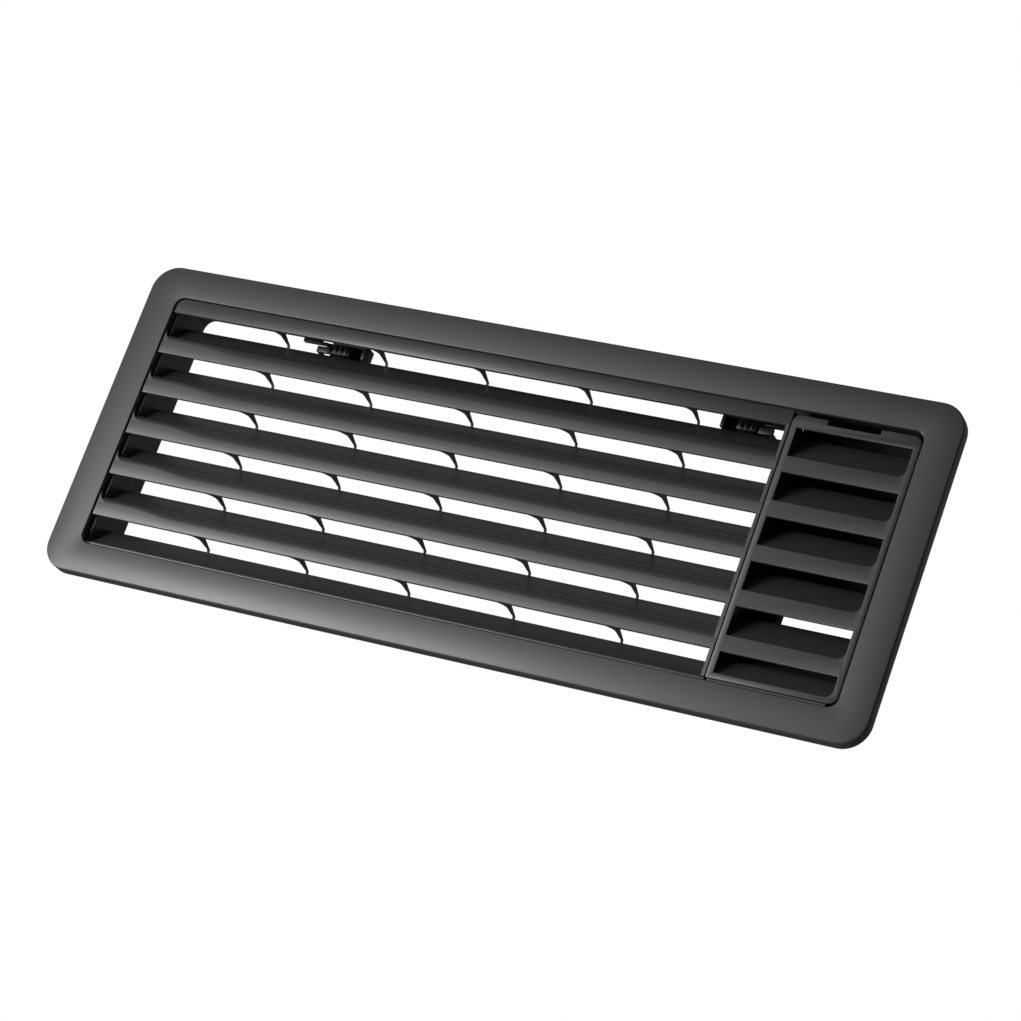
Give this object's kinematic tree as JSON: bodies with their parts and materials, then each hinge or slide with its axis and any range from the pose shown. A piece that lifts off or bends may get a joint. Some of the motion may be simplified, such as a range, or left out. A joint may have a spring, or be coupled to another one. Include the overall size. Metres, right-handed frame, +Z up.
{
  "type": "louvred air grille",
  "caption": "Recessed louvred vent with a flanged frame, a tilting grille held by slide catches, and a pocketed flue cover over a tray.",
  "frame": {"origin": "middle of the wall cut-out, in the plane of the wall's outer surface", "axes": "+X to the right seen from outside, +Y into the wall, +Z up"},
  "size_m": [0.52, 0.044, 0.2],
  "materials": {
    "frame_plastic": "satin charcoal, fine moulded texture",
    "grille_plastic": "satin charcoal, fine moulded texture",
    "guide_plastic": "dull black moulding",
    "catch_plastic": "dull black moulding",
    "cover_plastic": "satin charcoal, fine moulded texture",
    "tray_plastic": "flat black, heat resistant",
    "seal_rubber": "matt",
    "foam": "closed cell foam",
    "screw_steel": "zinc plated"
  },
  "bodies": {
    "frame": {"mounting_frame": "frame_plastic", "gasket_top": "foam", "gasket_bottom": "foam", "gasket_left": "foam", "gasket_right": "foam", "flue_tray": "tray_plastic", "flue_seal": "seal_rubber", "tray_screws": "screw_steel"},
    "grille": {"louvre_grille": "grille_plastic", "catch_guide_left": "guide_plastic", "catch_guide_right": "guide_plastic", "guide_screws": "screw_steel"},
    "catch_left": {"catch_slide_left": "catch_plastic"},
    "catch_right": {"catch_slide_right": "catch_plastic"},
    "cover": {"flue_cover": "cover_plastic"}
  },
  "joints": [
    {"name": "grille_tilt", "type": "hinge", "parent": "frame", "child": "grille", "pos_m": [0, -0.005, -0.08], "axis": [1, 0, 0], "range_deg": [0, 40]},
    {"name": "catch_left_slide", "type": "slide", "parent": "grille", "child": "catch_left", "axis": [1, 0, 0], "range_m": [0, 0.0075]},
    {"name": "catch_right_slide", "type": "slide", "parent": "grille", "child": "catch_right", "axis": [-1, 0, 0], "range_m": [0, 0.0075]},
    {"name": "cover_tilt", "type": "hinge", "parent": "frame", "child": "cover", "pos_m": [0.2, -0.005, -0.08], "axis": [1, 0, 0], "range_deg": [0, 40]}
  ]
}
